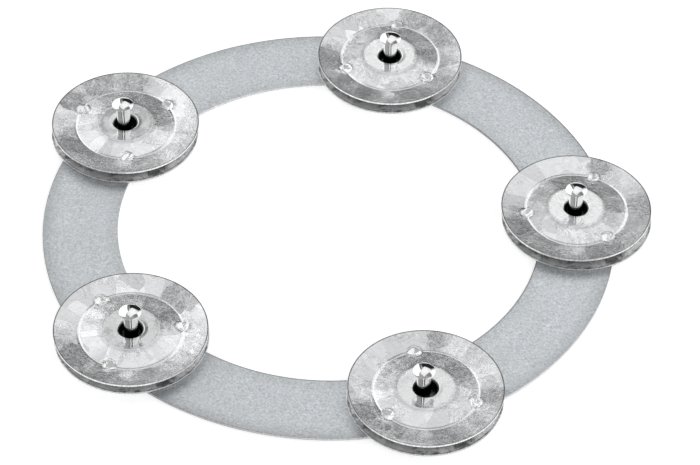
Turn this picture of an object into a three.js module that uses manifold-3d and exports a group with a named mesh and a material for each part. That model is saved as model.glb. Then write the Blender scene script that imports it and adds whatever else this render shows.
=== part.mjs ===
// Ching ring: a flat steel ring with five loose pairs of pressed jingles on
// shoulder pins. It drops over the rod of a hi-hat and lies on the top cymbal.
//
// Millimetres, +Z up. The origin is on the ring's axis, in the plane of its
// underside. +X passes through the pin of station 1, and the stations are
// numbered anticlockwise as seen from above.

import * as THREE from 'three';
import {
  mergeVertices,
  toCreasedNormals,
} from 'three/addons/utils/BufferGeometryUtils.js';
import Module from 'manifold-3d';

// ---------------------------------------------------------------- dimensions

const RING_OUTER_R = 76.2; // 6 in across
const RING_INNER_R = 56.25;
const RING_THICK = 0.9; // 20 gauge sheet
const RING_EDGE_BREAK = 0.12;

const STATIONS = 5;
const STATION_R = 66.2; // pin circle, the middle of the band

const DISC_R = 20.05; // rim of a jingle
const SHEET = 0.45; // jingle sheet
const PAIR_HEIGHT = 3.93; // from the lower rim's underside to the upper rim's edge
const CREASE_R = 13.5; // pressed crease between the brim and the inner cone
const CREASE_DROP = 1.09; // crease below the rim
const HUB_R = 7.4; // flat middle of the disc
const HUB_DROP = 0.03; // hub below the rim
const MOUTH_R = 3.25; // where the hole starts to turn in
const NECK_R = 2.65; // the hole itself: smaller than the pin's head
const NECK_DROP = 1.05; // from the hub down to the neck
const COLLAR_GAP = 0.02; // half the gap between the collars of a pair

const DIMPLE_R = 13.3; // where the three punched dimples sit
const DIMPLE_HALF = 1.75; // half width of a dimple
const DIMPLE_DEEP = 0.5;

const PIN_SHAFT_R = 1.85;
const PIN_SHAFT_TOP = 9.35; // above the plate
const PIN_HEAD_R = 2.92;
const PIN_HEAD_LOW = 9.97; // widest part of the head, above the plate
const PIN_TOP = 10.92; // top of the dome, above the plate
const RIVET_SHANK_R = 1.25; // through the plate
const RIVET_HOLE_R = 1.35;
const SINK_R = 2.05; // peened tail in the countersink, at the underside
const SINK_DEEP = 0.45;

const REST_GAP = 0.02; // lower rim above the plate

// Where each disc has settled on its pin (x, y), and the angle of its first
// dimple in degrees, stations 1 to 5.
const UPPER = [
  { at: [-0.033, -0.037], dimple: 63.7 },
  { at: [0.47, 0.047], dimple: 77.5 },
  { at: [0.272, 0.258], dimple: 30.7 },
  { at: [-0.022, -0.018], dimple: 3.7 },
  { at: [0.27, -0.38], dimple: 97.9 },
];
const LOWER = [
  { at: [0.183, -0.336], dimple: 15 },
  { at: [0.46, -0.067], dimple: 52 },
  { at: [0.068, 0.095], dimple: 88 },
  { at: [0.165, 0.43], dimple: 34 },
  { at: [0.15, -0.43], dimple: 109 },
];

// How each pin stands: shift of its foot and lean of its head (x, y), and extra
// height, stations 1 to 5.
const PINS = [
  { foot: [-0.16, 0.01], lean: [-0.16, 0.01], extra: 0 },
  { foot: [0.5, 0.04], lean: [0, 0], extra: -0.15 },
  { foot: [0, 0], lean: [-0.31, 0.22], extra: 0.2 },
  { foot: [0.16, -0.01], lean: [-0.17, -0.09], extra: -0.15 },
  { foot: [-0.24, 0.02], lean: [-0.15, -0.24], extra: -0.4 },
];

const RING_SIDES = 100; // a multiple of the stations
const DISC_SIDES = 39; // 13 for each dimple
const PIN_SIDES = 20;

// ------------------------------------------------------------------- helpers

const wasm = await Module();
wasm.setup();

// A closed mesh with shared vertices, its faces pointing out.
function solid(geometry) {
  geometry.deleteAttribute('normal');
  geometry.deleteAttribute('uv');
  const merged = mergeVertices(geometry, 1e-5);
  const p = merged.attributes.position.array;
  const tris = Array.from(merged.index.array);
  const kept = [];
  for (let i = 0; i < tris.length; i += 3) {
    const [a, b, c] = [tris[i], tris[i + 1], tris[i + 2]];
    if (a !== b && b !== c && c !== a) kept.push(a, b, c);
  }
  const A = new THREE.Vector3();
  const B = new THREE.Vector3();
  const C = new THREE.Vector3();
  let volume = 0;
  for (let i = 0; i < kept.length; i += 3) {
    A.fromArray(p, 3 * kept[i]);
    B.fromArray(p, 3 * kept[i + 1]);
    C.fromArray(p, 3 * kept[i + 2]);
    volume += A.dot(B.cross(C)) / 6;
  }
  if (volume < 0) {
    for (let i = 0; i < kept.length; i += 3) {
      [kept[i], kept[i + 1]] = [kept[i + 1], kept[i]];
    }
  }
  merged.setIndex(kept);
  return merged;
}

// A profile of [radius, height] points turned round +Z.
function turned(profile, sides) {
  const points = profile.map(([r, z]) => new THREE.Vector2(r, z));
  return new THREE.LatheGeometry(points, sides).rotateX(Math.PI / 2);
}

function toManifold(geometry) {
  return new wasm.Manifold(
    new wasm.Mesh({
      numProp: 3,
      vertProperties: new Float32Array(geometry.attributes.position.array),
      triVerts: new Uint32Array(geometry.index.array),
    }),
  );
}

function fromManifold(manifold) {
  const mesh = manifold.getMesh();
  const geometry = new THREE.BufferGeometry();
  geometry.setAttribute(
    'position',
    new THREE.BufferAttribute(new Float32Array(mesh.vertProperties), 3),
  );
  geometry.setIndex(Array.from(mesh.triVerts));
  return geometry;
}

// Smooth shading on the turned surfaces, sharp at the edges.
const finished = (geometry) => toCreasedNormals(geometry, 0.6);

// ---------------------------------------------------------------- ring plate

const ring = (() => {
  const e = RING_EDGE_BREAK;
  const [a, b, t] = [RING_INNER_R, RING_OUTER_R, RING_THICK];
  const blank = turned(
    [
      [a + e, 0],
      [b - e, 0],
      [b, e],
      [b, t - e],
      [b - e, t],
      [a + e, t],
      [a, t - e],
      [a, e],
      [a + e, 0],
    ],
    RING_SIDES,
  );
  let plate = toManifold(solid(blank));
  const clear = RIVET_HOLE_R - RIVET_SHANK_R;
  for (let k = 0; k < STATIONS; k++) {
    const angle = (2 * Math.PI * k) / STATIONS;
    const cutter = turned(
      [
        [0, -1],
        [SINK_R + clear, -1],
        [SINK_R + clear, 0],
        [RIVET_HOLE_R, SINK_DEEP],
        [RIVET_HOLE_R, RING_THICK + 1],
        [0, RING_THICK + 1],
      ],
      PIN_SIDES,
    );
    cutter.translate(STATION_R, 0, 0).rotateZ(angle);
    cutter.translate(...PINS[k].foot, 0);
    plate = plate.subtract(toManifold(solid(cutter)));
  }
  return fromManifold(plate);
})();

// ---------------------------------------------------------------------- pins

// Heights here are above the plate's top face. Only the part above the plate
// leans.
function pin({ lean, extra }) {
  const dome = [];
  const steps = 4;
  const rise = PIN_TOP - PIN_HEAD_LOW - 0.25;
  for (let i = 0; i <= steps; i++) {
    const s = ((Math.PI / 2) * i) / steps;
    dome.push([PIN_HEAD_R * Math.cos(s), PIN_HEAD_LOW + 0.25 + rise * Math.sin(s)]);
  }
  dome[steps][0] = 0;
  const geometry = turned(
    [
      [0, -RING_THICK],
      [SINK_R, -RING_THICK],
      [RIVET_SHANK_R, -RING_THICK + SINK_DEEP],
      [RIVET_SHANK_R, 0],
      [PIN_SHAFT_R, 0],
      [PIN_SHAFT_R, PIN_SHAFT_TOP],
      [PIN_HEAD_R, PIN_HEAD_LOW],
      ...dome,
    ],
    PIN_SIDES,
  );
  const pos = geometry.attributes.position;
  for (let i = 0; i < pos.count; i++) {
    const s = Math.max(0, pos.getZ(i)) / PIN_TOP;
    pos.setXYZ(
      i,
      pos.getX(i) + lean[0] * s,
      pos.getY(i) + lean[1] * s,
      pos.getZ(i) + extra * s,
    );
  }
  return finished(solid(geometry));
}

// ------------------------------------------------------------------- jingles

// Half the section of one disc, with z = 0 at mid height of the pair, the rim
// up and the collar down: the upper jingle. Turned over it is the lower one.
const mid = PAIR_HEIGHT / 2;
const hub = mid - HUB_DROP;
const crease = mid - CREASE_DROP;
const brimSlope = CREASE_DROP / (DISC_R - CREASE_R);
const coneSlope = (CREASE_DROP - HUB_DROP) / (CREASE_R - HUB_R);
const outR = CREASE_R + 1.85;
const inR = CREASE_R - 1.85;
const DISC_SECTION = [
  [DISC_R, mid],
  [outR, crease + 1.85 * brimSlope],
  [CREASE_R, crease],
  [inR, crease + 1.85 * coneSlope],
  [HUB_R, hub],
  [MOUTH_R, hub],
  [NECK_R, hub - NECK_DROP],
  [NECK_R, COLLAR_GAP],
  [NECK_R + 0.38, COLLAR_GAP],
  [MOUTH_R + 0.35, hub - SHEET],
  [HUB_R, hub - SHEET],
  [inR, crease + 1.85 * coneSlope - SHEET],
  [CREASE_R, crease - SHEET],
  [outR, crease + 1.85 * brimSlope - SHEET],
  [DISC_R, mid - SHEET],
  [DISC_R, mid],
];

// The section turned round +Z, with its steps closer together at the three
// dimples, which are pushed down through both faces of the sheet.
function disc(firstDimple, turnedOver) {
  const geometry = turned(DISC_SECTION, DISC_SIDES);
  const pos = geometry.attributes.position;
  const first = THREE.MathUtils.degToRad(firstDimple);
  for (let i = 0; i < pos.count; i++) {
    const r = Math.hypot(pos.getX(i), pos.getY(i));
    const raw = Math.atan2(pos.getY(i), pos.getX(i));
    const angle = raw - (0.62 / 3) * Math.sin(3 * raw);
    const third = (2 * Math.PI) / 3;
    const off = angle - third * Math.round(angle / third);
    const x = r * Math.cos(off) - DIMPLE_R;
    const y = r * Math.sin(off);
    const s = Math.min(1, Math.hypot(x, y) / DIMPLE_HALF);
    const z = pos.getZ(i) - DIMPLE_DEEP * (1 - s * s) ** 2;
    const at = angle + first;
    if (turnedOver) pos.setXYZ(i, r * Math.cos(at), -r * Math.sin(at), -z);
    else pos.setXYZ(i, r * Math.cos(at), r * Math.sin(at), z);
  }
  return finished(solid(geometry));
}

// --------------------------------------------------------------- scene graph

const steel = (color, roughness) =>
  new THREE.MeshStandardMaterial({ color, roughness, metalness: 1 });

const named = (name, geometry, material) => {
  const mesh = new THREE.Mesh(geometry, material);
  mesh.name = name;
  return mesh;
};

const chingRing = new THREE.Group();
chingRing.add(named('ring_plate', finished(ring), steel(0xb6babd, 0.5)));

for (let k = 0; k < STATIONS; k++) {
  const angle = (2 * Math.PI * k) / STATIONS;
  const station = new THREE.Group();
  station.position.set(
    STATION_R * Math.cos(angle),
    STATION_R * Math.sin(angle),
    RING_THICK,
  );

  const rivet = named(`pin_${k + 1}`, pin(PINS[k]), steel(0xe8e8ea, 0.08));
  rivet.position.set(...PINS[k].foot, 0);
  station.add(rivet);

  const lower = named(
    `lower_jingle_${k + 1}`,
    disc(LOWER[k].dimple, true),
    steel(0xcdd0d3, 0.3),
  );
  lower.position.set(...LOWER[k].at, REST_GAP + mid);
  station.add(lower);

  const upper = named(
    `upper_jingle_${k + 1}`,
    disc(UPPER[k].dimple, false),
    steel(0xcdd0d3, 0.28),
  );
  upper.position.set(...UPPER[k].at, REST_GAP + mid);
  station.add(upper);

  chingRing.add(station);
}

export default chingRing;
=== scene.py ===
"""Looks of the ching ring: fine meshes and node materials over the CAD frame."""

import math

import bmesh
import bpy
from mathutils import Matrix, Vector


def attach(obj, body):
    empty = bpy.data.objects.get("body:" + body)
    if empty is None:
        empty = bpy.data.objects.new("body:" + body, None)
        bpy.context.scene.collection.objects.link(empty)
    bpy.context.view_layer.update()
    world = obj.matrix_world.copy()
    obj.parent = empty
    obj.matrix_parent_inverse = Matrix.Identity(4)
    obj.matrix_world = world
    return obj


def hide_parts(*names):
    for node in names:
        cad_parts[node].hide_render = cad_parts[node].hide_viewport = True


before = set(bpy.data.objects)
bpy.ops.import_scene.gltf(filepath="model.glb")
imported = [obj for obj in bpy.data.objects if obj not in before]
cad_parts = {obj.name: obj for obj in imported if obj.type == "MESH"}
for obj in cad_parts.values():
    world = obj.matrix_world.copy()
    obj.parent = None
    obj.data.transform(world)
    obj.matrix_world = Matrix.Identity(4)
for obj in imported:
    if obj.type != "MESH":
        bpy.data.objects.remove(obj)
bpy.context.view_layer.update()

MM = 0.001
scene = bpy.context.scene
scene.view_settings.view_transform = "Standard"

# ---------------------------------------------------------------- dimensions
# The same numbers as the construction, in millimetres.

RING_OUTER_R = 76.2
RING_INNER_R = 56.25
RING_THICK = 0.9
RING_EDGE = 0.16
STATION_R = 66.2
DISC_R = 20.05
SHEET = 0.45
RIM_SHEET = 0.60
RIM_ROLL = 0.13
PAIR_HEIGHT = 3.93
CREASE_R = 13.5
CREASE_DROP = 1.09
HUB_R = 7.4
HUB_DROP = 0.03
MOUTH_R = 3.25
NECK_R = 2.65
NECK_DROP = 1.05
COLLAR_GAP = 0.02
DIMPLE_R = 13.3
PIN_SHAFT_R = 1.85
PIN_SHAFT_TOP = 9.35
PIN_HEAD_R = 2.92
PIN_HEAD_LOW = 9.97
PIN_TOP = 10.92
SINK_R = 2.05
SINK_DEEP = 0.45
RIVET_HOLE_R = 1.35
REST_GAP = 0.02

UPPER = [
    ((-0.033, -0.037), 63.7),
    ((0.47, 0.047), 77.5),
    ((0.272, 0.258), 30.7),
    ((-0.022, -0.018), 3.7),
    ((0.27, -0.38), 97.9),
]
LOWER = [
    ((0.183, -0.336), 15.0),
    ((0.46, -0.067), 52.0),
    ((0.068, 0.095), 88.0),
    ((0.165, 0.43), 34.0),
    ((0.15, -0.43), 109.0),
]

# Worn places on each upper jingle: angle, distance from its middle and size in mm.
DULL = [
    [(0, 17.6, 4.2), (62, 17.6, 3.2), (200, 17.5, 3.6), (0, 10.3, 2.4)],
    [(30, 17.0, 5.0), (62, 17.0, 4.5), (180, 17.5, 5.0), (0, 10.3, 3.2)],
    [(82, 17.2, 4.6), (112, 17.0, 5.0), (146, 17.5, 4.0), (208, 17.5, 3.5), (5, 10.3, 3.4), (35, 10.3, 3.4)],
    [(40, 17.0, 5.0), (210, 17.6, 4.2), (20, 10.5, 3.0)],
    [(350, 17.5, 4.0), (75, 17.5, 3.0), (205, 17.5, 3.2), (30, 10.3, 3.0)],
]
RUBBED = [
    [(35, 17.0, 4.0), (145, 9.5, 4.0), (300, 10.0, 3.6)],
    [(330, 17.0, 4.2), (250, 17.5, 3.6), (130, 9.5, 4.2)],
    [(10, 17.0, 6.5), (285, 17.0, 5.5), (320, 17.0, 4.5), (125, 10.0, 4.5), (150, 10.0, 4.0)],
    [(300, 17.0, 5.0), (325, 17.0, 4.5), (95, 10.0, 4.5), (130, 10.0, 4.5)],
    [(240, 17.0, 3.4), (340, 9.5, 4.0), (125, 10.0, 3.8)],
]

# Each pin: shift of its foot, lean of its head (x, y) and extra height, in mm.
PINS = [
    ((-0.16, 0.01), (-0.16, 0.01), 0.0),
    ((0.50, 0.04), (0.0, 0.0), -0.15),
    ((0.0, 0.0), (-0.31, 0.22), 0.2),
    ((0.16, -0.01), (-0.17, -0.09), -0.15),
    ((-0.24, 0.02), (-0.15, -0.24), -0.4),
]

# -------------------------------------------------------------------- camera


def make_camera():
    """The photograph's camera: 44.7 degrees above the ring, turned slightly about its own axis."""
    tilt, roll, turn = math.radians(44.72), math.radians(-1.37), math.radians(-4.76)
    focal, away = 3502.2, 934.8
    u0, v0 = 328.87, 225.72
    back = Vector((0, -math.cos(tilt), math.sin(tilt)))
    right = Vector((1, 0, 0))
    up = back.cross(right)
    c, s = math.cos(roll), math.sin(roll)
    x_axis = c * right - s * up
    y_axis = s * right + c * up
    t = Vector(
        (
            (u0 - 350.0) / focal * away,
            -(v0 - 232.5) / focal * away,
            -away,
        )
    )
    place = -(x_axis * t.x + y_axis * t.y + back * t.z)
    spin = Matrix.Rotation(turn, 3, "Z")
    x_axis, y_axis, z_axis, place = (spin @ v for v in (x_axis, y_axis, back, place))
    place.z += RING_THICK
    matrix = Matrix.Identity(4)
    for i, axis in enumerate((x_axis, y_axis, z_axis)):
        for j in range(3):
            matrix[j][i] = axis[j]
    matrix.translation = place * MM
    data = bpy.data.cameras.new("camera")
    data.sensor_width = 36.0
    data.lens = focal / 700.0 * 36.0
    data.clip_start, data.clip_end = 0.05, 20.0
    cam = bpy.data.objects.new("camera", data)
    cam.matrix_world = matrix
    scene.collection.objects.link(cam)
    scene.camera = cam


make_camera()

# ------------------------------------------------------------- mesh helpers


def new_object(name, verts, faces, smooth=True):
    mesh = bpy.data.meshes.new(name)
    mesh.from_pydata(verts, [], faces)
    mesh.validate()
    bm = bmesh.new()
    bm.from_mesh(mesh)
    bmesh.ops.recalc_face_normals(bm, faces=bm.faces)
    bm.to_mesh(mesh)
    bm.free()
    for poly in mesh.polygons:
        poly.use_smooth = smooth
    obj = bpy.data.objects.new(name, mesh)
    scene.collection.objects.link(obj)
    return obj


def turned(name, profile, sides, bend=None):
    """A profile of (radius, height) points in mm turned round +Z. A radius of 0 is a pole. bend moves each point."""
    verts, rings = [], []
    for r, z in profile:
        if r < 1e-9:
            rings.append([len(verts)])
            p = (0.0, 0.0, z) if bend is None else bend(0.0, 0.0, z)
            verts.append(tuple(q * MM for q in p))
            continue
        row = []
        for i in range(sides):
            a = 2 * math.pi * i / sides
            x, y = r * math.cos(a), r * math.sin(a)
            p = (x, y, z) if bend is None else bend(x, y, z)
            row.append(len(verts))
            verts.append(tuple(q * MM for q in p))
        rings.append(row)
    faces = []
    closed = rings[0] != rings[-1] and len(rings[0]) > 1 and len(rings[-1]) > 1
    pairs = list(zip(rings, rings[1:]))
    if closed:
        pairs.append((rings[-1], rings[0]))
    for low, high in pairs:
        for i in range(sides):
            j = (i + 1) % sides
            if len(low) == 1:
                faces.append((low[0], high[j], high[i]))
            elif len(high) == 1:
                faces.append((low[i], low[j], high[0]))
            else:
                faces.append((low[i], low[j], high[j], high[i]))
    return new_object(name, verts, faces)


def arc(cx, cz, r, a0, a1, steps):
    """Points of a circle in the section, angles in degrees from +radius."""
    return [
        (
            cx + r * math.cos(math.radians(a0 + (a1 - a0) * i / steps)),
            cz + r * math.sin(math.radians(a0 + (a1 - a0) * i / steps)),
        )
        for i in range(steps + 1)
    ]


def edge_faces(obj, where, steep):
    """Gives the faces of a cut edge, by their radius, the piece's second material."""
    for poly in obj.data.polygons:
        c = poly.center
        if abs(poly.normal.z) < steep and where(math.hypot(c.x, c.y)):
            poly.material_index = 1


def smooth_step(x):
    x = min(1.0, max(0.0, x))
    return x * x * (3 - 2 * x)


# ------------------------------------------------------------------ the ring


def make_ring():
    e = RING_EDGE
    a, b, t = RING_INNER_R, RING_OUTER_R, RING_THICK
    section = []
    section += arc(b - e, e, e, -90, 0, 4)
    section += arc(b - e, t - e, e, 0, 90, 4)
    section += [(b - e - 0.05, t), (b - 6, t), (a + 6, t), (a + e + 0.05, t)]
    section += arc(a + e, t - e, e, 90, 180, 4)
    section += arc(a + e, e, e, 180, 270, 4)
    section += [(a + e + 0.05, 0), (a + 6, 0), (b - 6, 0), (b - e - 0.05, 0)]
    plate = turned("ring_plate_fine", section, 360)
    cutters = []
    for k in range(5):
        angle = 2 * math.pi * k / 5
        cutter = turned(
            f"cutter_{k}",
            [
                (0, -1),
                (SINK_R + 0.1, -1),
                (SINK_R + 0.1, 0),
                (RIVET_HOLE_R, SINK_DEEP),
                (RIVET_HOLE_R, t + 1),
                (0, t + 1),
            ],
            48,
        )
        (sx, sy), _, _ = PINS[k]
        cutter.data.transform(
            Matrix.Translation((sx * MM, sy * MM, 0))
            @ Matrix.Rotation(angle, 4, "Z")
            @ Matrix.Translation((STATION_R * MM, 0, 0))
        )
        cutters.append(cutter)
        cut = plate.modifiers.new(f"hole_{k}", "BOOLEAN")
        cut.operation, cut.solver, cut.object = "DIFFERENCE", "EXACT", cutter
    bpy.context.view_layer.update()
    made = bpy.data.meshes.new_from_object(
        plate.evaluated_get(bpy.context.evaluated_depsgraph_get())
    )
    plate.modifiers.clear()
    plate.data = made
    for cutter in cutters:
        bpy.data.objects.remove(cutter)
    for poly in made.polygons:
        poly.use_smooth = True
    # the flat faces and the rolled edges meet smoothly, the holes are sharp
    bm = bmesh.new()
    bm.from_mesh(made)
    for edge in bm.edges:
        if len(edge.link_faces) == 2:
            edge.smooth = edge.calc_face_angle(0.0) < math.radians(35)
    bm.to_mesh(made)
    bm.free()
    return plate


# ------------------------------------------------------------------ the pins


def make_pin(k):
    """Peened tail, shank, shaft and a domed head, as one turned piece. Heights are above the plate."""
    t = -RING_THICK
    section = [(0, t + 0.03), (0.9, t + 0.03), (1.5, t + 0.015), (1.8, t + 0.01)]
    section += arc(SINK_R - 0.06, t + 0.07, 0.06, -90, 20, 4)
    section += [
        (1.28, t + SINK_DEEP - 0.03),
        (1.25, t + SINK_DEEP + 0.05),
        (1.25, -0.02),
        (1.30, 0.0),
        (PIN_SHAFT_R - 0.06, 0.0),
        (PIN_SHAFT_R, 0.06),
    ]
    section += [(PIN_SHAFT_R, 0.06 + (PIN_SHAFT_TOP - 0.3) * i / 8) for i in range(1, 9)]
    # fillet under the head, then the rolled edge and the dome
    section += arc(PIN_SHAFT_R + 0.35, PIN_SHAFT_TOP - 0.1, 0.35, 180, 124, 5)
    section += [(PIN_HEAD_R - 0.16, PIN_HEAD_LOW - 0.02)]
    section += arc(PIN_HEAD_R - 0.13, PIN_HEAD_LOW + 0.12, 0.13, -40, 52, 6)
    r0, z0 = section[-1]
    # crown: an arc of a circle that ends at the top, tangent to the rolled edge
    rise = PIN_TOP - z0
    big = (r0 * r0 + rise * rise) / (2 * rise)
    sweep = math.asin(r0 / big)
    for i in range(1, 15):
        a = sweep * (1 - i / 14)
        section.append((big * math.sin(a) if i < 14 else 0.0, PIN_TOP - big + big * math.cos(a)))
    (sx, sy), (lx, ly), extra = PINS[k]

    def bend(x, y, z):
        if z <= 0:
            return (x, y, z)
        return (x + lx * z / PIN_TOP, y + ly * z / PIN_TOP, z * (1 + extra / PIN_TOP))

    pin = turned(f"pin_{k + 1}_fine", section, 96, bend)
    angle = 2 * math.pi * k / 5
    pin.location = (
        (STATION_R * math.cos(angle) + sx) * MM,
        (STATION_R * math.sin(angle) + sy) * MM,
        RING_THICK * MM,
    )
    return pin


# --------------------------------------------------------------- the jingles

MID = PAIR_HEIGHT / 2
HUB = MID - HUB_DROP
CREASE = MID - CREASE_DROP
BRIM = CREASE_DROP / (DISC_R - CREASE_R)
CONE = (CREASE_DROP - HUB_DROP) / (CREASE_R - HUB_R)


def soft_corner(x, left, right, width):
    """Height near a corner at x = 0 between a line of slope left and one of slope right, rounded over width."""
    if x <= -width:
        return left * x
    if x >= width:
        return right * x
    s = (x + width) / (2 * width)
    return left * x * (1 - s) ** 2 * (1 + 2 * s) + right * x * s * s * (3 - 2 * s)


def sheet_top(r):
    """Height of the top face of an upper jingle at radius r, before its dimples."""
    if r > (CREASE_R + HUB_R) / 2:
        x = r - CREASE_R
        return CREASE + soft_corner(x, -CONE, BRIM, 0.26) - 0.12 * math.exp(-((x / 0.32) ** 2))
    rolled = -0.05 * smooth_step((4.6 - r) / 1.0)
    return HUB + soft_corner(r - HUB_R, 0.0, -CONE, 0.38) + rolled


def disc_section():
    """(radius, height) round one disc, rim up and collar down, with fine steps where it bends."""
    top = []
    r = DISC_R - RIM_ROLL * 1.164 - 0.02
    steps = (
        (DISC_R - RIM_ROLL * 1.164 - 0.10, 0.05),
        (DISC_R - RIM_ROLL * 1.164 - 0.40, 0.15),
        (15.4, 0.6),
        (14.3, 0.2),
        (12.7, 0.08),
        (11.2, 0.2),
        (8.0, 0.5),
        (6.8, 0.1),
        (4.8, 0.4),
        (MOUTH_R + 0.52, 0.12),
    )
    for end, step in steps:
        while r > end:
            top.append(r)
            r -= step
    points = [(q, sheet_top(q)) for q in top]
    # the mouth rolls over into the collar
    lip = 0.45
    points += arc(MOUTH_R + lip, HUB - 0.05 - lip, lip, 88, 165, 8)
    neck = HUB - NECK_DROP
    r0, z0 = points[-1]
    for i in range(1, 7):
        s = i / 6
        points.append((r0 + (NECK_R - r0) * smooth_step(s * 0.5 + 0.25) if 0 < i < 6 else NECK_R, z0 + (neck - z0) * s))
    points += [(NECK_R, neck * 0.6), (NECK_R, COLLAR_GAP + 0.08)]
    points += arc(NECK_R + 0.09, COLLAR_GAP + 0.08, 0.08, 180, 270, 3)
    points += arc(NECK_R + 0.29, COLLAR_GAP + 0.08, 0.08, 270, 360, 3)
    points += [(NECK_R + 0.38, 0.4), (NECK_R + 0.42, 0.8)]
    under = [(MOUTH_R + 0.50, HUB - SHEET - 0.30), (MOUTH_R + 0.75, HUB - SHEET - 0.06)]
    points += under
    for q in reversed([q for i, q in enumerate(top) if i % 2 == 0 and MOUTH_R + 1.0 < q < DISC_R - 0.5]):
        points.append((q, sheet_top(q) - SHEET))
    # the cut edge of the rim, slightly rolled on both sides
    z_out = sheet_top(DISC_R)
    points += [
        (DISC_R - 0.40, z_out - SHEET - 0.40 * BRIM),
        (DISC_R - 0.20, z_out - RIM_SHEET),
        (DISC_R - 0.04, z_out - RIM_SHEET),
        (DISC_R, z_out - RIM_SHEET + 0.04),
    ]
    points += arc(DISC_R - RIM_ROLL, z_out - 1.18 * RIM_ROLL, RIM_ROLL, 0, 99, 8)
    return points


def make_disc(name, first, seed, turned_over):
    """One jingle. Its three dimples are punched down into the sheet, and the sheet is not quite true."""
    angles = [math.radians(first + 120 * i) for i in range(3)]
    centres = [(DIMPLE_R * math.cos(a), DIMPLE_R * math.sin(a)) for a in angles]
    phase = [2.399 * seed + i for i in range(4)]

    def bend(x, y, z):
        r = math.hypot(x, y)
        a = math.atan2(y, x)
        fade = smooth_step((r - 4.2) / 3.0)
        edge = 1 - smooth_step((r - 18.6) / 1.4)
        # slow waves left by the press
        wave = (
            0.030 * math.sin(2 * a + phase[0])
            + 0.022 * math.sin(3 * a + phase[1] + 0.35 * r)
            + 0.012 * math.sin(5 * a + phase[2] - 0.5 * r)
        )
        dz = wave * fade * edge
        if r < 9.0:
            # the hub stays clear of the plate it faces
            dz = min(dz, 0.02)
        for i, (cx, cy) in enumerate(centres):
            d = math.hypot(x - cx, y - cy)
            if d < 4.5:
                t = math.atan2(y - cy, x - cx)
                d *= 0.98
                lobes = 0.17 * math.sin(2 * t + phase[i]) + 0.12 * math.sin(3 * t + 2 * phase[i + 1])
                pit = 1 - smooth_step((d * (1 + lobes) - 0.35) / 1.15)
                swell = math.exp(-((d * (1 + 0.6 * lobes) - 1.75) ** 2) / 0.16)
                crumple = 0.05 * math.sin(7 * t + phase[i + 1]) * math.exp(-((d - 1.2) ** 2) / 0.5)
                dz += -0.56 * pit + (0.11 + 0.25 * lobes) * swell + crumple * (1 - pit) + crumple * pit * 0.8
        # under a dimple the sheet is pressed thinner, and stays on its own side of the pair
        z = max(z + dz, COLLAR_GAP)
        return (x, y, z)

    obj = turned(name, disc_section(), 288, bend)
    if turned_over:
        obj.data.transform(Matrix.Rotation(math.pi, 4, "X"))
    edge_faces(obj, lambda r: r > (DISC_R - 0.1) * MM, 0.6)
    return obj


# ----------------------------------------------------------------- materials


class Nodes:
    """Small helper for building a node tree."""

    def __init__(self, name):
        self.mat = bpy.data.materials.new(name)
        self.mat.use_nodes = True
        self.tree = self.mat.node_tree
        self.tree.nodes.clear()
        self.out = self.add("ShaderNodeOutputMaterial")

    def add(self, kind, **values):
        node = self.tree.nodes.new(kind)
        for key, value in values.items():
            setattr(node, key, value)
        return node

    def link(self, a, b):
        self.tree.links.new(a, b)

    def put(self, socket, value):
        if isinstance(value, bpy.types.NodeSocket):
            self.link(value, socket)
        elif value is not None:
            socket.default_value = value

    def math(self, op, a, b=None, c=None, clamp=False):
        node = self.add("ShaderNodeMath", operation=op, use_clamp=clamp)
        for i, v in enumerate((a, b, c)):
            if v is not None:
                self.put(node.inputs[i], v)
        return node.outputs[0]

    def vmath(self, op, a, b=None, out=0):
        node = self.add("ShaderNodeVectorMath", operation=op)
        self.put(node.inputs[0], a)
        if b is not None:
            self.put(node.inputs[1], b)
        return node.outputs[out]

    def remap(self, value, a, b, c, d):
        node = self.add("ShaderNodeMapRange", clamp=True)
        for i, v in enumerate((value, a, b, c, d)):
            self.put(node.inputs[i], v)
        return node.outputs[0]

    def noise(self, vector, scale, detail=2.0, rough=0.5, distortion=0.0):
        node = self.add("ShaderNodeTexNoise")
        self.put(node.inputs["Vector"], vector)
        node.inputs["Scale"].default_value = scale
        node.inputs["Detail"].default_value = detail
        node.inputs["Roughness"].default_value = rough
        node.inputs["Distortion"].default_value = distortion
        return node

    def mapping(self, vector, location=(0, 0, 0), rotation=(0, 0, 0), scale=(1, 1, 1)):
        node = self.add("ShaderNodeMapping")
        self.link(vector, node.inputs["Vector"])
        node.inputs["Location"].default_value = location
        node.inputs["Rotation"].default_value = rotation
        node.inputs["Scale"].default_value = scale
        return node.outputs[0]

    def ramp(self, value, stops, interpolation="LINEAR"):
        node = self.add("ShaderNodeValToRGB")
        node.color_ramp.interpolation = interpolation
        while len(node.color_ramp.elements) < len(stops):
            node.color_ramp.elements.new(0.5)
        for element, (at, colour) in zip(node.color_ramp.elements, stops):
            element.position = at
            element.color = (*colour, 1) if len(colour) == 3 else colour
        self.put(node.inputs[0], value)
        return node.outputs[0]

    def mix(self, factor, a, b, blend="MIX"):
        node = self.add("ShaderNodeMix", data_type="RGBA", blend_type=blend)
        self.put(node.inputs[0], factor)
        self.put(node.inputs[6], a)
        self.put(node.inputs[7], b)
        return node.outputs[2]

    def bump(self, height, strength, distance, normal=None):
        node = self.add("ShaderNodeBump")
        node.inputs["Strength"].default_value = strength
        node.inputs["Distance"].default_value = distance
        self.put(node.inputs["Height"], height)
        if normal is not None:
            self.link(normal, node.inputs["Normal"])
        return node.outputs[0]


def grey(v, warm=0.0):
    return (v * (1 + warm), v, v * (1 - warm), 1)


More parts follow.
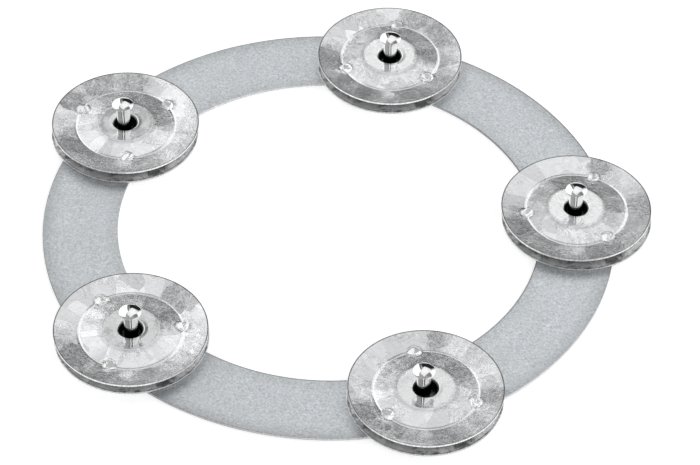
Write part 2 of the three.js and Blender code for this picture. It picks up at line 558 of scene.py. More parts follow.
def jingle_material(name, seed, polish, first, outside, dull, rubbed):
    """Bright zinc: spangle crystals that each catch the light differently, with fine scratches and rubbed patches."""
    n = Nodes(name)
    coord = n.add("ShaderNodeTexCoord").outputs["Object"]
    mm = n.vmath("SCALE", coord)
    mm.node.inputs["Scale"].default_value = 1000.0
    seedv = (7.3 * seed, -4.1 * seed, 2.7 * seed)
    flat = n.mapping(mm, location=seedv, rotation=(0, 0, 1.1 * seed), scale=(1, 1, 0.0))

    def wandering(vector, scale, amount):
        field = n.noise(vector, scale, 2.0, 0.5).outputs["Color"]
        shift = n.vmath("SCALE", n.vmath("SUBTRACT", field, (0.5, 0.5, 0.5)))
        shift.node.inputs["Scale"].default_value = amount
        return n.vmath("ADD", vector, shift)

    where = wandering(flat, 0.25, 0.22)
    level_mm = n.vmath("MULTIPLY", mm, (1, 1, 0))
    outward = n.vmath("NORMALIZE", level_mm)
    distance = n.vmath("LENGTH", level_mm, out=1)

    def crystals(scale, squash, turn):
        vor = n.add("ShaderNodeTexVoronoi", feature="F1", voronoi_dimensions="3D")
        at = n.mapping(where, rotation=(0, 0, turn), scale=(1.0, squash, 1.0))
        n.link(at, vor.inputs["Vector"])
        vor.inputs["Scale"].default_value = scale
        parts = n.add("ShaderNodeSeparateColor")
        n.link(vor.outputs["Color"], parts.inputs[0])
        rel = n.vmath("SUBTRACT", at, vor.outputs["Position"])
        way = n.vmath("SUBTRACT", vor.outputs["Color"], (0.5, 0.5, 0.5))
        facet = n.vmath("DOT_PRODUCT", rel, way, out=1)
        # the middle of this crystal on the sheet, in millimetres
        rel = n.mapping(rel, rotation=(0, 0, -turn))
        rel = n.mapping(rel, rotation=(0, 0, -1.1 * seed), scale=(1.0, 1.0 / squash, 1.0))
        middle = n.vmath("MULTIPLY", n.vmath("SUBTRACT", mm, rel), (1, 1, 0))
        return parts.outputs, facet, middle

    def sectors(scale, reach):
        """Large crystals that run out from the middle, laid out on a cylinder whose height is the distance."""
        upright = n.add("ShaderNodeCombineXYZ")
        n.link(n.math("MULTIPLY", distance, reach), upright.inputs[2])
        wrapped = n.vmath("SCALE", outward)
        wrapped.node.inputs["Scale"].default_value = 15.0
        wander = n.vmath("SCALE", n.vmath("SUBTRACT", where, flat))
        wander.node.inputs["Scale"].default_value = 1.8
        at = n.vmath("ADD", n.vmath("ADD", wrapped, upright.outputs[0]), wander)
        at = n.vmath("ADD", at, seedv)
        vor = n.add("ShaderNodeTexVoronoi", feature="F1", voronoi_dimensions="3D")
        n.link(at, vor.inputs["Vector"])
        vor.inputs["Scale"].default_value = scale
        parts = n.add("ShaderNodeSeparateColor")
        n.link(vor.outputs["Color"], parts.inputs[0])
        facet = n.vmath("DOT_PRODUCT", n.vmath("SUBTRACT", at, vor.outputs["Position"]), n.vmath("SUBTRACT", vor.outputs["Color"], (0.5, 0.5, 0.5)), out=1)
        centre = n.vmath("SUBTRACT", vor.outputs["Position"], seedv)
        tall = n.add("ShaderNodeSeparateXYZ")
        n.link(centre, tall.inputs[0])
        middle = n.vmath("SCALE", n.vmath("NORMALIZE", n.vmath("MULTIPLY", centre, (1, 1, 0))))
        n.link(n.math("MULTIPLY", tall.outputs[2], 1.0 / reach), middle.node.inputs["Scale"])
        return parts.outputs, facet, middle

    big, facet_big, big_at = sectors(0.24, 0.5)
    small, facet_small, small_at = crystals(0.48, 1.5, 1.9)
    flake, facet_flake, flake_at = crystals(1.25, 0.8, 0.9)
    spark, facet_spark, spark_at = crystals(2.5, 0.7, 2.7)

    def worn(at, spots):
        """Whole crystals that lie in one of the worn places."""
        total = 0.0
        for azimuth, distance, size in spots:
            a = math.radians(azimuth)
            away = n.vmath("DISTANCE", at, (distance * math.cos(a), distance * math.sin(a), 0), out=1)
            spot = n.remap(away, size - 0.9, size + 0.9, 1.0, 0.0)
            total = spot if total == 0.0 else n.math("MAXIMUM", total, spot)
        return total

    dulled_spots = worn(small_at, dull)
    rubbed_spots = worn(big_at, rubbed)

    # feathers inside each crystal run in that crystal's own direction
    angle = n.math("MULTIPLY", big[0], 6.283)
    cosine, sine = n.math("COSINE", angle), n.math("SINE", angle)
    split = n.add("ShaderNodeSeparateXYZ")
    n.link(where, split.inputs[0])
    along = n.math("ADD", n.math("MULTIPLY", split.outputs[0], cosine), n.math("MULTIPLY", split.outputs[1], sine))
    across = n.math("SUBTRACT", n.math("MULTIPLY", split.outputs[1], cosine), n.math("MULTIPLY", split.outputs[0], sine))
    feathered = n.add("ShaderNodeCombineXYZ")
    n.link(n.math("MULTIPLY", along, 0.35), feathered.inputs[0])
    n.link(n.math("MULTIPLY", across, 2.6), feathered.inputs[1])
    feather = n.noise(feathered.outputs[0], 1.0, 3.0, 0.6).outputs[0]

    # short strokes, each small crystal in its own direction
    angle = n.math("MULTIPLY", small[0], 6.283)
    cosine, sine = n.math("COSINE", angle), n.math("SINE", angle)
    along = n.math("ADD", n.math("MULTIPLY", split.outputs[0], cosine), n.math("MULTIPLY", split.outputs[1], sine))
    across = n.math("SUBTRACT", n.math("MULTIPLY", split.outputs[1], cosine), n.math("MULTIPLY", split.outputs[0], sine))
    stroked = n.add("ShaderNodeCombineXYZ")
    n.link(n.math("MULTIPLY", along, 0.6), stroked.inputs[0])
    n.link(n.math("MULTIPLY", across, 2.4), stroked.inputs[1])
    hatch = n.remap(n.noise(stroked.outputs[0], 1.0, 3.0, 0.65, 0.3).outputs[0], 0.34, 0.66, -0.5, 0.5)

    grain = n.noise(flat, 2.6, 4.0, 0.72).outputs[0]
    mottle = n.noise(flat, 1.05, 3.0, 0.65, 0.2).outputs[0]
    patch = n.remap(n.noise(flat, 0.13, 2.0, 0.5).outputs[0], 0.46, 0.58, 0.0, 0.6)
    patch = n.math("MAXIMUM", patch, dulled_spots)
    scratch_a = n.noise(n.mapping(flat, rotation=(0, 0, 0.5 + seed), scale=(7.0, 0.25, 1.0)), 1.0, 3.0, 0.65).outputs[0]
    scratch_b = n.noise(n.mapping(flat, rotation=(0, 0, 2.1 + seed), scale=(5.0, 0.3, 1.0)), 1.0, 3.0, 0.65).outputs[0]

    # distance from the pin: polished hub, and a throat painted near black as painted shade down the bore
    xyz = n.add("ShaderNodeSeparateXYZ")
    n.link(mm, xyz.inputs[0])
    radius = n.math("SQRT", n.math("ADD", n.math("MULTIPLY", xyz.outputs[0], xyz.outputs[0]), n.math("MULTIPLY", xyz.outputs[1], xyz.outputs[1])))
    painted_throat_shade = n.remap(radius, 3.05, 3.45, 1.0, 0.0)
    hub = n.remap(radius, 6.7, 7.9, 1.0, 0.0)
    # the faces that look into the pair stay dull and grey
    normals = n.add("ShaderNodeSeparateXYZ")
    n.link(n.add("ShaderNodeTexCoord").outputs["Normal"], normals.inputs[0])
    inner = n.remap(n.math("MULTIPLY", normals.outputs[2], outside), -0.25, 0.0, 1.0, 0.0)
    # the crease gets a painted highlight and is a little smoother; the rolled rim gets painted light and shade; a ring
    # at the bend beside the hub gets painted shade
    rim = n.remap(radius, DISC_R - 0.22, DISC_R - 0.17, 0.0, 1.0)
    roll = n.math("MULTIPLY", rim, n.remap(n.math("MULTIPLY", normals.outputs[2], outside), 0.94, 0.975, 1.0, 0.0))
    bright = n.remap(n.math("ABSOLUTE", n.math("SUBTRACT", radius, CREASE_R)), 0.16, 0.42, 1.0, 0.0)
    beside = n.remap(n.math("ABSOLUTE", n.math("SUBTRACT", radius, 7.9)), 0.1, 0.9, 1.0, 0.0)
    inside = n.remap(radius, 13.2, 13.8, 1.0, 0.0)
    # each punched dimple gets a painted highlight and is smoothed by the punch, with painted shade round its lip
    punched = dimple_lip_shade = 0.0
    for i in range(3):
        a = math.radians(first + 120 * i)
        away = n.vmath("DISTANCE", n.vmath("MULTIPLY", mm, (1, 1, 0)), (DIMPLE_R * math.cos(a), DIMPLE_R * math.sin(a), 0), out=1)
        spot = n.remap(away, 1.35, 1.9, 1.0, 0.0)
        punched = spot if i == 0 else n.math("ADD", punched, spot, clamp=True)
        trace = n.remap(n.math("ABSOLUTE", n.math("SUBTRACT", away, 2.0)), 0.10, 0.38, 1.0, 0.0)
        dimple_lip_shade = trace if i == 0 else n.math("ADD", dimple_lip_shade, trace, clamp=True)
    dimple_lip_shade = n.math("MULTIPLY", dimple_lip_shade, n.remap(mottle, 0.44, 0.56, 0.0, 1.0))

    # the brim is grainier in front and the cone beyond the hub, where the jingle has been handled least
    graze_brim = n.remap(n.vmath("DOT_PRODUCT", outward, (-0.083, -0.997, 0), out=1), -0.45, 0.35, 0.14, 1.0)
    graze_cone = n.remap(n.vmath("DOT_PRODUCT", outward, (0.26, 0.966, 0), out=1), -0.35, 0.45, 0.12, 1.6)
    coarse = n.math("ADD", n.math("MULTIPLY", inside, graze_cone), n.math("MULTIPLY", n.math("SUBTRACT", 1.0, inside), graze_brim))
    coarse = n.math("MAXIMUM", coarse, patch)

    spread = n.remap(radius, 6.5, 10.0, 0.3, 1.0)
    tone = n.math("ADD", n.math("MULTIPLY", n.math("MULTIPLY", n.math("SUBTRACT", big[0], 0.5), spread), 0.18), 0.09)
    marks = n.math("ADD", n.math("MULTIPLY", n.math("SUBTRACT", small[1], 0.5), 0.10), n.math("MULTIPLY", n.math("SUBTRACT", flake[1], 0.5), 0.05))
    marks = n.math("ADD", marks, n.math("MULTIPLY", n.math("SUBTRACT", feather, 0.5), 0.06))
    marks = n.math("MULTIPLY", marks, n.remap(coarse, 0.15, 1.0, 0.35, 1.0))
    tone = n.math("ADD", tone, marks)
    tone = n.math("ADD", tone, n.math("MULTIPLY", n.math("MULTIPLY", n.math("SUBTRACT", grain, 0.5), coarse), 0.86))
    pale = n.remap(big[0], 0.66, 0.70, 0.0, 0.04)
    tone = n.math("ADD", tone, n.math("MULTIPLY", pale, n.math("SUBTRACT", 1.0, patch)))
    tone = n.math("ADD", tone, n.math("MULTIPLY", hatch, n.math("ADD", n.math("MULTIPLY", patch, 0.46), n.math("MULTIPLY", coarse, 0.13))))
    tone = n.math("ADD", tone, 0.665)
    rubbed = n.remap(n.math("MULTIPLY", scratch_a, scratch_b), 0.10, 0.42, 0.90, 1.01)
    tone = n.math("MULTIPLY", tone, rubbed)
    tone = n.math("ADD", tone, n.math("MULTIPLY", n.math("SUBTRACT", mottle, 0.5), n.math("ADD", n.math("MULTIPLY", patch, 0.36), 0.02)))
    tone = n.math("MULTIPLY", tone, n.math("SUBTRACT", 1.0, n.math("MULTIPLY", dulled_spots, 0.32)))
    tone = n.math("MULTIPLY", tone, n.math("ADD", n.math("MULTIPLY", rubbed_spots, 0.12), 1.0))
    tone = n.math("MULTIPLY", tone, n.math("ADD", n.math("MULTIPLY", inside, 0.03), 1.0))
    # painted reflection of the pin's head: a brighter patch on the brim in front of the hub
    if outside > 0:
        painted_pin_reflection = n.vmath("DISTANCE", n.vmath("ADD", n.mapping(mm, scale=(1, 1, 0)), n.vmath("SUBTRACT", where, flat)), (-1.35, -15.7, 0), out=1)
        painted_pin_reflection = n.remap(n.math("SUBTRACT", painted_pin_reflection, n.math("MULTIPLY", small[0], 1.2)), 0.5, 1.6, 1.0, 0.0)
        tone = n.math("MULTIPLY", tone, n.math("ADD", n.math("MULTIPLY", painted_pin_reflection, 0.45), 1.0))
    # painted shade in a ring at the bend beside the hub
    tone = n.math("MULTIPLY", tone, n.math("SUBTRACT", 1.0, n.math("MULTIPLY", beside, 0.20)))
    # painted shade round the lip of each dimple
    tone = n.math("MULTIPLY", tone, n.math("SUBTRACT", 1.0, n.math("MULTIPLY", dimple_lip_shade, 0.42)))
    # a painted shade line just inside the rolled rim, weaker in front
    weaker_in_front = n.remap(n.vmath("DOT_PRODUCT", outward, (-0.083, -0.997, 0), out=1), 0.1, 0.8, 1.0, 0.3)
    line = n.math("MULTIPLY", n.remap(radius, DISC_R - 0.39, DISC_R - 0.31, 0.0, 1.0), weaker_in_front)
    line = n.math("MULTIPLY", line, n.math("SUBTRACT", 1.0, inner))
    tone = n.math("MULTIPLY", tone, n.math("SUBTRACT", 1.0, n.math("MULTIPLY", line, 0.76)))
    colour = n.add("ShaderNodeCombineColor")
    n.link(n.math("MULTIPLY", tone, 0.985), colour.inputs[0])
    n.link(tone, colour.inputs[1])
    n.link(n.math("MULTIPLY", tone, 1.012), colour.inputs[2])
    polished = n.mix(n.math("MULTIPLY", hub, 0.6), colour.outputs[0], grey(polish))
    # painted highlight on each dimple
    polished = n.mix(n.math("MULTIPLY", punched, 0.7), polished, grey(0.97))
    # painted highlight along the crease
    polished = n.mix(n.math("MULTIPLY", bright, 0.85), polished, grey(0.97))
    # painted light and shade on the rolled rim: lighter on the side that faces the light, darker on the far side
    side = n.vmath("DOT_PRODUCT", n.vmath("NORMALIZE", n.vmath("MULTIPLY", mm, (1, 1, 0))), (-0.574, -0.819, 0), out=1)
    rolled = n.add("ShaderNodeCombineColor")
    roll_painted_light = n.remap(n.math("MULTIPLY", normals.outputs[2], outside), 0.45, 0.8, 0.6, 0.0)
    roll_painted_light = n.math("MULTIPLY", roll_painted_light, n.math("MAXIMUM", side, 0.0))
    for i in range(3):
        n.link(n.math("ADD", n.math("ADD", n.math("MULTIPLY", side, 0.22), 0.24), roll_painted_light, clamp=True), rolled.inputs[i])
    polished = n.mix(n.math("MULTIPLY", roll, 0.9), polished, rolled.outputs[0])
    # handled and tarnished in cloudy patches where the pair closes, and painted shade that darkens these faces further
    # in from the rim
    tarnish_and_gap_shade = n.remap(n.noise(mm, 0.30, 4.0, 0.65, 0.3).outputs[0], 0.38, 0.52, 0.16, 1.0)
    # painted shade: darker further in from the rim, deeper in the gap between the pair
    tarnish_and_gap_shade = n.math("MULTIPLY", tarnish_and_gap_shade, n.remap(radius, 16.6, 18.9, 0.58, 1.0))
    tarnish_and_gap_shade = n.math("MULTIPLY", tarnish_and_gap_shade, n.math("ADD", n.math("MULTIPLY", n.math("SUBTRACT", grain, 0.5), 1.6), 1.0), clamp=True)
    tarnished_and_shaded = n.add("ShaderNodeCombineColor")
    for i in range(3):
        n.link(tarnish_and_gap_shade, tarnished_and_shaded.inputs[i])
    polished = n.mix(n.math("MULTIPLY", inner, 0.85), polished, tarnished_and_shaded.outputs[0])
    # painted shade: the throat down the bore is painted near black
    base = n.mix(painted_throat_shade, polished, grey(0.006))

    rough = n.math("ADD", n.math("MULTIPLY", small[2], 0.05), n.math("MULTIPLY", patch, 0.08))
    rough = n.math("ADD", rough, n.math("MULTIPLY", grain, 0.08))
    rough = n.math("ADD", rough, 0.12)
    rough = n.math("MULTIPLY", rough, n.math("SUBTRACT", 1.0, n.math("MULTIPLY", hub, 0.82)))
    rough = n.math("MULTIPLY", rough, n.math("SUBTRACT", 1.0, n.math("MULTIPLY", bright, 0.4)))
    rough = n.math("MULTIPLY", rough, n.math("SUBTRACT", 1.0, n.math("MULTIPLY", punched, 0.6)))
    rough = n.math("ADD", rough, n.math("MULTIPLY", painted_throat_shade, 0.6), clamp=True)

    calm = n.math("MULTIPLY", n.math("SUBTRACT", 1.0, n.math("MULTIPLY", hub, 0.82)), n.remap(coarse, 0.15, 1.0, 0.55, 1.0))
    relief = n.math("ADD", n.math("MULTIPLY", facet_big, 0.025), n.math("MULTIPLY", facet_small, 0.03))
    relief = n.math("ADD", relief, n.math("MULTIPLY", facet_flake, 0.05))
    relief = n.math("ADD", relief, n.math("MULTIPLY", facet_spark, n.math("MULTIPLY", coarse, 0.035)))
    relief = n.math("ADD", relief, n.math("MULTIPLY", feather, 0.014))
    relief = n.math("ADD", relief, n.math("MULTIPLY", hatch, n.math("ADD", n.math("MULTIPLY", patch, 0.034), n.math("MULTIPLY", coarse, 0.010))))
    relief = n.math("ADD", relief, n.math("MULTIPLY", n.math("MULTIPLY", scratch_a, patch), 0.012))
    relief = n.math("ADD", relief, n.math("MULTIPLY", scratch_b, 0.012))
    relief = n.math("ADD", relief, n.math("MULTIPLY", grain, n.math("ADD", n.math("MULTIPLY", patch, 0.030), n.math("MULTIPLY", coarse, 0.012))))
    relief = n.math("ADD", relief, n.math("MULTIPLY", mottle, n.math("ADD", n.math("MULTIPLY", patch, 0.05), 0.006)))
    normal = n.bump(n.math("MULTIPLY", relief, calm), 1.0, 0.001)

    shader = n.add("ShaderNodeBsdfPrincipled")
    metallic = n.math("ADD", n.math("MULTIPLY", hub, 0.20), 0.80)
    n.link(n.math("MULTIPLY", metallic, n.math("SUBTRACT", 1.0, n.math("MULTIPLY", inner, 0.16))), shader.inputs["Metallic"])
    n.link(base, shader.inputs["Base Color"])
    n.link(rough, shader.inputs["Roughness"])
    n.link(normal, shader.inputs["Normal"])
    n.link(shader.outputs[0], n.out.inputs[0])
    return n.mat


def edge_material(name, level, worn=0.0, metallic=1.0):
    """The sheared edge of a sheet, torn across in fine upright lines, with painted light that makes it brighter on the
    side that faces one way, by as much as worn.
    """
    n = Nodes(name)
    coord = n.add("ShaderNodeTexCoord").outputs["Object"]
    mm = n.vmath("SCALE", coord)
    mm.node.inputs["Scale"].default_value = 1000.0
    lines = n.noise(n.mapping(mm, scale=(3.0, 3.0, 0.4)), 1.0, 3.0, 0.6).outputs[0]
    # painted light: brighter where the edge faces one way, by as much as worn
    side = n.vmath("DOT_PRODUCT", n.add("ShaderNodeTexCoord").outputs["Normal"], (0.857, -0.515, 0.0), out=1)
    tone = n.math("MULTIPLY", n.math("ADD", lines, 0.5), n.math("MAXIMUM", n.math("ADD", n.math("MULTIPLY", side, worn), level), 0.1))
    colour = n.add("ShaderNodeCombineColor")
    for i in range(3):
        n.link(tone, colour.inputs[i])
    shader = n.add("ShaderNodeBsdfPrincipled")
    shader.inputs["Metallic"].default_value = metallic
    n.link(colour.outputs[0], shader.inputs["Base Color"])
    n.link(n.math("ADD", n.math("MULTIPLY", lines, 0.3), 0.12), shader.inputs["Roughness"])
    n.link(n.bump(lines, 0.5, 0.00004), shader.inputs["Normal"])
    n.link(shader.outputs[0], n.out.inputs[0])
    return n.mat


def ring_material():
    """Satin sheet steel: an even cool grey with a fine speckled grain and faint rolling lines."""
    n = Nodes("ring_satin_steel")
    coord = n.add("ShaderNodeTexCoord").outputs["Object"]
    mm = n.vmath("SCALE", coord)
    mm.node.inputs["Scale"].default_value = 1000.0
    fine = n.noise(mm, 1.9, 4.0, 0.8).outputs[0]
    pebble = n.noise(mm, 0.95, 3.0, 0.7, 0.6).outputs[0]
    amount = n.remap(n.noise(mm, 0.16, 2.0, 0.5).outputs[0], 0.42, 0.60, 0.05, 0.42)
    speck = n.math("ADD", n.math("MULTIPLY", n.math("SUBTRACT", pebble, 0.5), amount), fine)
    cloud = n.noise(mm, 0.09, 3.0, 0.5).outputs[0]
    lines = n.noise(n.mapping(mm, rotation=(0, 0, 0.5), scale=(0.25, 7.0, 1.0)), 0.8, 3.0, 0.6).outputs[0]
    tone = n.math("ADD", n.math("MULTIPLY", speck, 1.0), n.math("MULTIPLY", cloud, 0.08))
    tone = n.math("ADD", tone, n.math("MULTIPLY", lines, 0.06))
    tone = n.math("ADD", tone, 0.10)
    # painted light: a little darker toward one side, as the light falls off across the ring
    painted_light_falloff = n.vmath("DOT_PRODUCT", mm, (0.00085, 0.0005, 0.0), out=1)
    tone = n.math("MULTIPLY", tone, n.math("ADD", painted_light_falloff, 1.085))
    # both edges a little darker
    level_mm = n.vmath("MULTIPLY", mm, (1, 1, 0))
    radius = n.vmath("LENGTH", level_mm, out=1)
    darker_near_edges = n.math("MULTIPLY", n.remap(radius, RING_INNER_R, RING_INNER_R + 4.2, 1.0, 0.0), 0.11)
    outer = n.math("POWER", n.remap(radius, RING_OUTER_R - 5.0, RING_OUTER_R - 0.2, 0.0, 1.0), 1.5)
    darker_near_edges = n.math("ADD", darker_near_edges, n.math("MULTIPLY", outer, 0.23))
    tone = n.math("MULTIPLY", tone, n.math("SUBTRACT", 1.0, darker_near_edges))
    # and a thin painted shade line along each edge, on the far side of the outer edge and the near side of the inner
    # edge
    outward = n.vmath("NORMALIZE", level_mm)
    far = n.remap(n.vmath("DOT_PRODUCT", outward, (0.64, 0.77, 0), out=1), 0.2, 0.9, 0.0, 1.1)
    near = n.remap(n.vmath("DOT_PRODUCT", outward, (0.34, -0.94, 0), out=1), 0.1, 0.7, 0.0, 1.0)
    dark_out = n.math("MULTIPLY", n.remap(radius, RING_OUTER_R - 0.44, RING_OUTER_R - 0.34, 0.0, 1.0), far)
    dark_in = n.math("MULTIPLY", n.remap(radius, RING_INNER_R + 0.34, RING_INNER_R + 0.44, 1.0, 0.0), near)
    tone = n.math("MULTIPLY", tone, n.math("SUBTRACT", 1.0, n.math("MULTIPLY", n.math("ADD", dark_out, dark_in), 0.45)))
    pits = n.remap(n.noise(mm, 1.35, 2.0, 0.6).outputs[0], 0.63, 0.70, 0.0, 0.16)
    tone = n.math("MULTIPLY", tone, n.math("SUBTRACT", 1.0, pits))
    colour = n.add("ShaderNodeCombineColor")
    facing = n.add("ShaderNodeSeparateXYZ")
    n.link(n.add("ShaderNodeTexCoord").outputs["Normal"], facing.inputs[0])
    # painted shade on the rolled edges, except on the side that faces the light
    roll = n.remap(n.math("ABSOLUTE", facing.outputs[2]), 0.93, 0.99, 1.0, 0.0)
    side = n.vmath("DOT_PRODUCT", facing.inputs[0].links[0].from_socket, (0.574, -0.819, 0.0), out=1)
    side = n.math("MAXIMUM", n.math("ADD", n.math("MULTIPLY", side, 0.6), 0.7), 0.40)
    side = n.math("MINIMUM", side, 1.0)
    tone = n.math("MULTIPLY", tone, n.math("SUBTRACT", 1.0, n.math("MULTIPLY", roll, n.math("SUBTRACT", 1.0, side))))
    n.link(n.math("MULTIPLY", tone, 0.98), colour.inputs[0])
    n.link(n.math("MULTIPLY", tone, 1.025), colour.inputs[1])
    n.link(n.math("MULTIPLY", tone, 1.06), colour.inputs[2])
    rough = n.math("ADD", n.math("MULTIPLY", speck, 0.2), 0.38)
    relief = n.math("ADD", n.math("MULTIPLY", speck, 0.035), n.math("MULTIPLY", lines, 0.006))
    normal = n.bump(relief, 1.0, 0.001)
    shader = n.add("ShaderNodeBsdfPrincipled")
    shader.inputs["Metallic"].default_value = 1.0
    n.link(colour.outputs[0], shader.inputs["Base Color"])
    n.link(rough, shader.inputs["Roughness"])
    n.link(normal, shader.inputs["Normal"])
    n.link(shader.outputs[0], n.out.inputs[0])
    return n.mat


def pin_material():
    """Mirror plating with the faintest turning marks and a few handling hairlines."""
    n = Nodes("pin_mirror_plating")
    coord = n.add("ShaderNodeTexCoord").outputs["Object"]
    mm = n.vmath("SCALE", coord)
    mm.node.inputs["Scale"].default_value = 1000.0
    turning = n.noise(n.mapping(mm, scale=(0.15, 0.15, 9.0)), 1.0, 2.0, 0.5).outputs[0]
    haze = n.noise(mm, 0.9, 3.0, 0.6).outputs[0]
    tone = n.math("ADD", n.math("MULTIPLY", haze, 0.05), 0.84)
    xyz = n.add("ShaderNodeSeparateXYZ")
    n.link(mm, xyz.inputs[0])
    # painted shade: the shaft darkens down inside the jingles, less near its foot
    shaft_painted_shade = n.math("MULTIPLY", n.remap(xyz.outputs[2], 4.0, 6.1, 1.0, 0.0), n.remap(xyz.outputs[2], 1.2, 2.4, 0.45, 1.0))
    shaft_painted_shade = n.math("MULTIPLY", shaft_painted_shade, n.remap(xyz.outputs[2], -0.1, 0.05, 0.0, 1.0))
    tone = n.math("MULTIPLY", tone, n.math("SUBTRACT", 1.0, n.math("MULTIPLY", shaft_painted_shade, 0.98)))
    colour = n.add("ShaderNodeCombineColor")
    n.link(tone, colour.inputs[0])
    n.link(tone, colour.inputs[1])
    n.link(n.math("MULTIPLY", tone, 1.01), colour.inputs[2])
    rough = n.math("ADD", n.math("MULTIPLY", haze, 0.04), 0.012)
    normal = n.bump(turning, 0.15, 0.00001)
    shader = n.add("ShaderNodeBsdfPrincipled")
    shader.inputs["Metallic"].default_value = 1.0
    n.link(colour.outputs[0], shader.inputs["Base Color"])
    n.link(rough, shader.inputs["Roughness"])
    n.link(normal, shader.inputs["Normal"])
    n.link(shader.outputs[0], n.out.inputs[0])
    return n.mat


# ------------------------------------------------------------------ assembly

ring = make_ring()
ring.data.materials.clear()
ring.data.materials.append(ring_material())
# the ring's cut edge, with painted light on one side
cut_steel = edge_material("cut_steel_edge", 0.40, 0.32)
# the lower jingles' cut edges are a darker copy of the upper ones, as painted shade
cut_zinc = [edge_material("cut_zinc_upper", 0.98, 0.0, 0.35), edge_material("cut_zinc_lower", 0.60, 0.0, 0.8)]
ring.data.materials.append(cut_steel)
edge_faces(ring, lambda r: r > (RING_OUTER_R - 0.1) * MM or r < (RING_INNER_R + 0.1) * MM, 0.75)
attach(ring, "ring")
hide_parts("ring_plate")

plating = pin_material()
POLISH = (0.88, 0.92, 0.68, 0.62, 0.66)  # how bright each hub is rubbed
for k in range(5):
    pin = make_pin(k)
    pin.data.materials.append(plating)
    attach(pin, "ring")
    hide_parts(f"pin_{k + 1}")

    angle = 2 * math.pi * k / 5
    for which, table, over in (("upper", UPPER, False), ("lower", LOWER, True)):
        (dx, dy), first = table[k]
        seed = k + 1 + (5 if over else 0)
        disc = make_disc(f"{which}_jingle_{k + 1}_fine", first, seed, over)
        disc.location = (
            (STATION_R * math.cos(angle) + dx) * MM,
            (STATION_R * math.sin(angle) + dy) * MM,
            (RING_THICK + REST_GAP + MID) * MM,
        )
        disc.data.materials.append(jingle_material(
            f"zinc_{which}_{k + 1}", seed, POLISH[k], first, -1.0 if over else 1.0,
            [] if over else DULL[k], [] if over else RUBBED[k],
        ))
        disc.data.materials.append(cut_zinc[1 if over else 0])
        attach(disc, f"{which}_{k + 1}")
        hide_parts(f"{which}_jingle_{k + 1}")

# ----------------------------------------------------------- floor and light


def make_floor():
    size = 3.0
    z = -0.0002
    floor = new_object(
        "floor",
        [(-size, -size, z), (size, -size, z), (size, size, z), (-size, size, z)],
        [(0, 1, 2, 3)],
    )
    n = Nodes("floor_pale")
    diffuse = n.add("ShaderNodeBsdfDiffuse")
    diffuse.inputs["Color"].default_value = (0.66, 0.66, 0.66, 1)
    glow = n.add("ShaderNodeEmission")
    glow.inputs["Color"].default_value = (1, 1, 1, 1)
    glow.inputs["Strength"].default_value = 0.62
    both = n.add("ShaderNodeAddShader")
    n.link(diffuse.outputs[0], both.inputs[0])
    n.link(glow.outputs[0], both.inputs[1])
    clear = n.add("ShaderNodeBsdfTransparent")
    side = n.add("ShaderNodeMixShader")
    n.link(n.add("ShaderNodeNewGeometry").outputs["Backfacing"], side.inputs[0])
    n.link(both.outputs[0], side.inputs[1])
    n.link(clear.outputs[0], side.inputs[2])
    n.link(side.outputs[0], n.out.inputs[0])
    floor.data.materials.append(n.mat)
    return floor


make_floor()


TURN = math.radians(-4.76)  # the studio is set out along the camera's line of sight


def aim(azimuth, elevation):
    """A unit vector. Azimuth 0 is straight beyond the object, 90 to the right, 180 behind the camera."""
    a, e = math.radians(azimuth), math.radians(elevation)
    v = Vector((math.sin(a) * math.cos(e), math.cos(a) * math.cos(e), math.sin(e)))
    return Matrix.Rotation(TURN, 3, "Z") @ v


def area(name, azimuth, elevation, distance, width, height, radiance, spin=0.0):
    data = bpy.data.lights.new(name, "AREA")
    data.shape = "RECTANGLE"
    data.size, data.size_y = width, height
    data.energy = radiance * math.pi * width * height
    light = bpy.data.objects.new(name, data)
    place = aim(azimuth, elevation) * distance
    look = (-place).to_track_quat("-Z", "Y").to_matrix().to_4x4()
    light.matrix_world = (
        Matrix.Translation(place) @ look @ Matrix.Rotation(math.radians(spin), 4, "Z")
    )
    scene.collection.objects.link(light)
    return light


# one large soft box beyond and above, hung by a corner
area("main_box", 10.0, 60.0, 1.0, 0.42, 0.42, 0.12, 38.0)


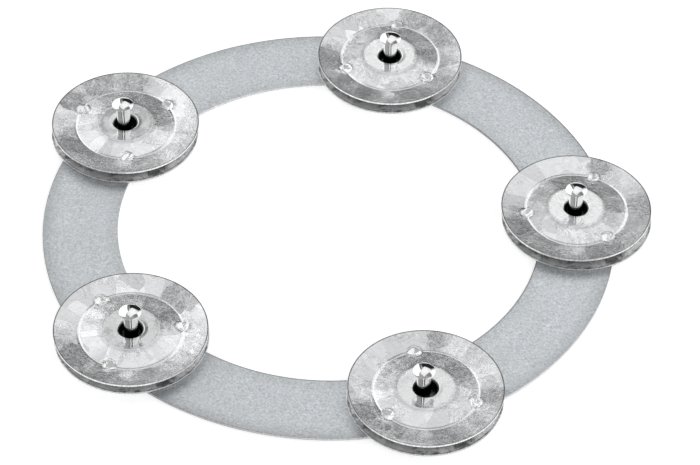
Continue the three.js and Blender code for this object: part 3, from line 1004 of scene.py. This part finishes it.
def make_world():
    """Soft studio: a bright field beyond and above, white walls at the sides, darker low down and behind the camera."""
    world = bpy.data.worlds.new("studio")
    scene.world = world
    world.use_nodes = True
    n = Nodes.__new__(Nodes)
    n.tree = world.node_tree
    n.tree.nodes.clear()
    out = n.add("ShaderNodeOutputWorld")
    way = n.vmath("NORMALIZE", n.add("ShaderNodeTexCoord").outputs["Generated"])
    split = n.add("ShaderNodeSeparateXYZ")
    n.link(way, split.inputs[0])

    degree = 180 / math.pi
    ahead = n.vmath("DOT_PRODUCT", way, tuple(aim(0, 0)), out=1)
    aside = n.vmath("DOT_PRODUCT", way, tuple(aim(90, 0)), out=1)
    azimuth = n.math("MULTIPLY", n.math("ARCTAN2", aside, ahead), degree)
    behind = n.math("MULTIPLY", n.math("ARCTAN2", n.math("MULTIPLY", aside, -1.0), n.math("MULTIPLY", ahead, -1.0)), degree)
    height = n.math("MULTIPLY", n.math("ARCSINE", split.outputs[2]), degree)

    def band(value, low, high, soft):
        up = n.remap(value, low - soft, low + soft, 0.0, 1.0)
        down = n.remap(value, high - soft, high + soft, 1.0, 0.0)
        return n.math("MULTIPLY", up, down)

    def panel(az0, az1, el0, el1, soft=1.5, lean=0.0, back=False, slope=0.0):
        """A screen between two azimuths and two elevations, in degrees. Its sides may lean and its top may slope."""
        a = behind if back else azimuth
        h = height
        if slope:
            h = n.math("ADD", h, n.math("MULTIPLY", n.math("ADD", a, 20.0), slope))
        if lean:
            a = n.math("ADD", a, n.math("MULTIPLY", height, lean))
        return n.math("MULTIPLY", band(a, az0, az1, soft), band(h, el0, el1, soft))

    def kite(corners, soft):
        """A four-cornered soft box: inside every plane through the object and one of its edges."""
        points = [Matrix.Rotation(TURN, 3, "Z") @ Vector(c).normalized() for c in corners]
        middle = sum(points, Vector((0, 0, 0))).normalized()
        inside = None
        for one, two in zip(points, points[1:] + points[:1]):
            plane = one.cross(two).normalized()
            if plane.dot(middle) < 0:
                plane.negate()
            side = n.remap(n.vmath("DOT_PRODUCT", way, tuple(plane), out=1), -soft, soft, 0.0, 1.0)
            inside = side if inside is None else n.math("MULTIPLY", inside, side)
        return inside

    stops = [(0.0, 0.45), (0.5, 0.48), (0.7, 0.48), (0.9, 0.42), (1.0, 0.40)]
    level = n.ramp(split.outputs[2], [(a, (v, v, v)) for a, v in stops])

    def paint(level, factor, value):
        keep = n.math("SUBTRACT", 1.0, factor)
        return n.math("ADD", n.math("MULTIPLY", level, keep), n.math("MULTIPLY", factor, value))

    # beyond the object: lit walls left and right, a dark doorway between them
    level = paint(level, panel(-64, -9, -25, 57, 2.0, 0.17, False, 0.22), 1.35)
    level = paint(level, panel(34, 105, 4, 53, 2.0), 1.2)
    level = paint(level, panel(-6, 29, -25, 34, 1.5), 0.02)
    level = paint(level, panel(-9, -4, -25, 48, 1.2, 0.17), 0.14)
    level = paint(level, panel(40, 80, 55, 74, 4.0), 0.24)
    # overhead: one large soft box hung by a corner
    box = ((0.034, 0.86, 0.50), (-0.25, 0.315, 0.916), (0.02, 0.0, 1.0), (0.474, 0.582, 0.655))
    level = paint(level, kite(box, 0.014), 0.97)
    # the camera's side: grey on the left, lit on the right, a dark stand between
    level = paint(level, panel(-88, -16, 8, 64, 3.0, 0.0, True), 1.1)
    level = paint(level, panel(-3, 13, 8, 64, 2.0, 0.0, True), 1.3)
    level = paint(level, panel(14, 25, -5, 64, 1.5, 0.0, True), 0.10)
    level = paint(level, panel(-21, -6, -5, 64, 1.5, 0.0, True), 0.03)
    grade = n.add("ShaderNodeBackground")
    n.link(level, grade.inputs["Color"])
    grade.inputs["Strength"].default_value = 1.0
    seen = n.add("ShaderNodeBackground")
    seen.inputs["Color"].default_value = (1, 1, 1, 1)
    seen.inputs["Strength"].default_value = 1.0
    mix = n.add("ShaderNodeMixShader")
    n.link(n.add("ShaderNodeLightPath").outputs["Is Camera Ray"], mix.inputs[0])
    n.link(grade.outputs[0], mix.inputs[1])
    n.link(seen.outputs[0], mix.inputs[2])
    n.link(mix.outputs[0], out.inputs[0])


make_world()
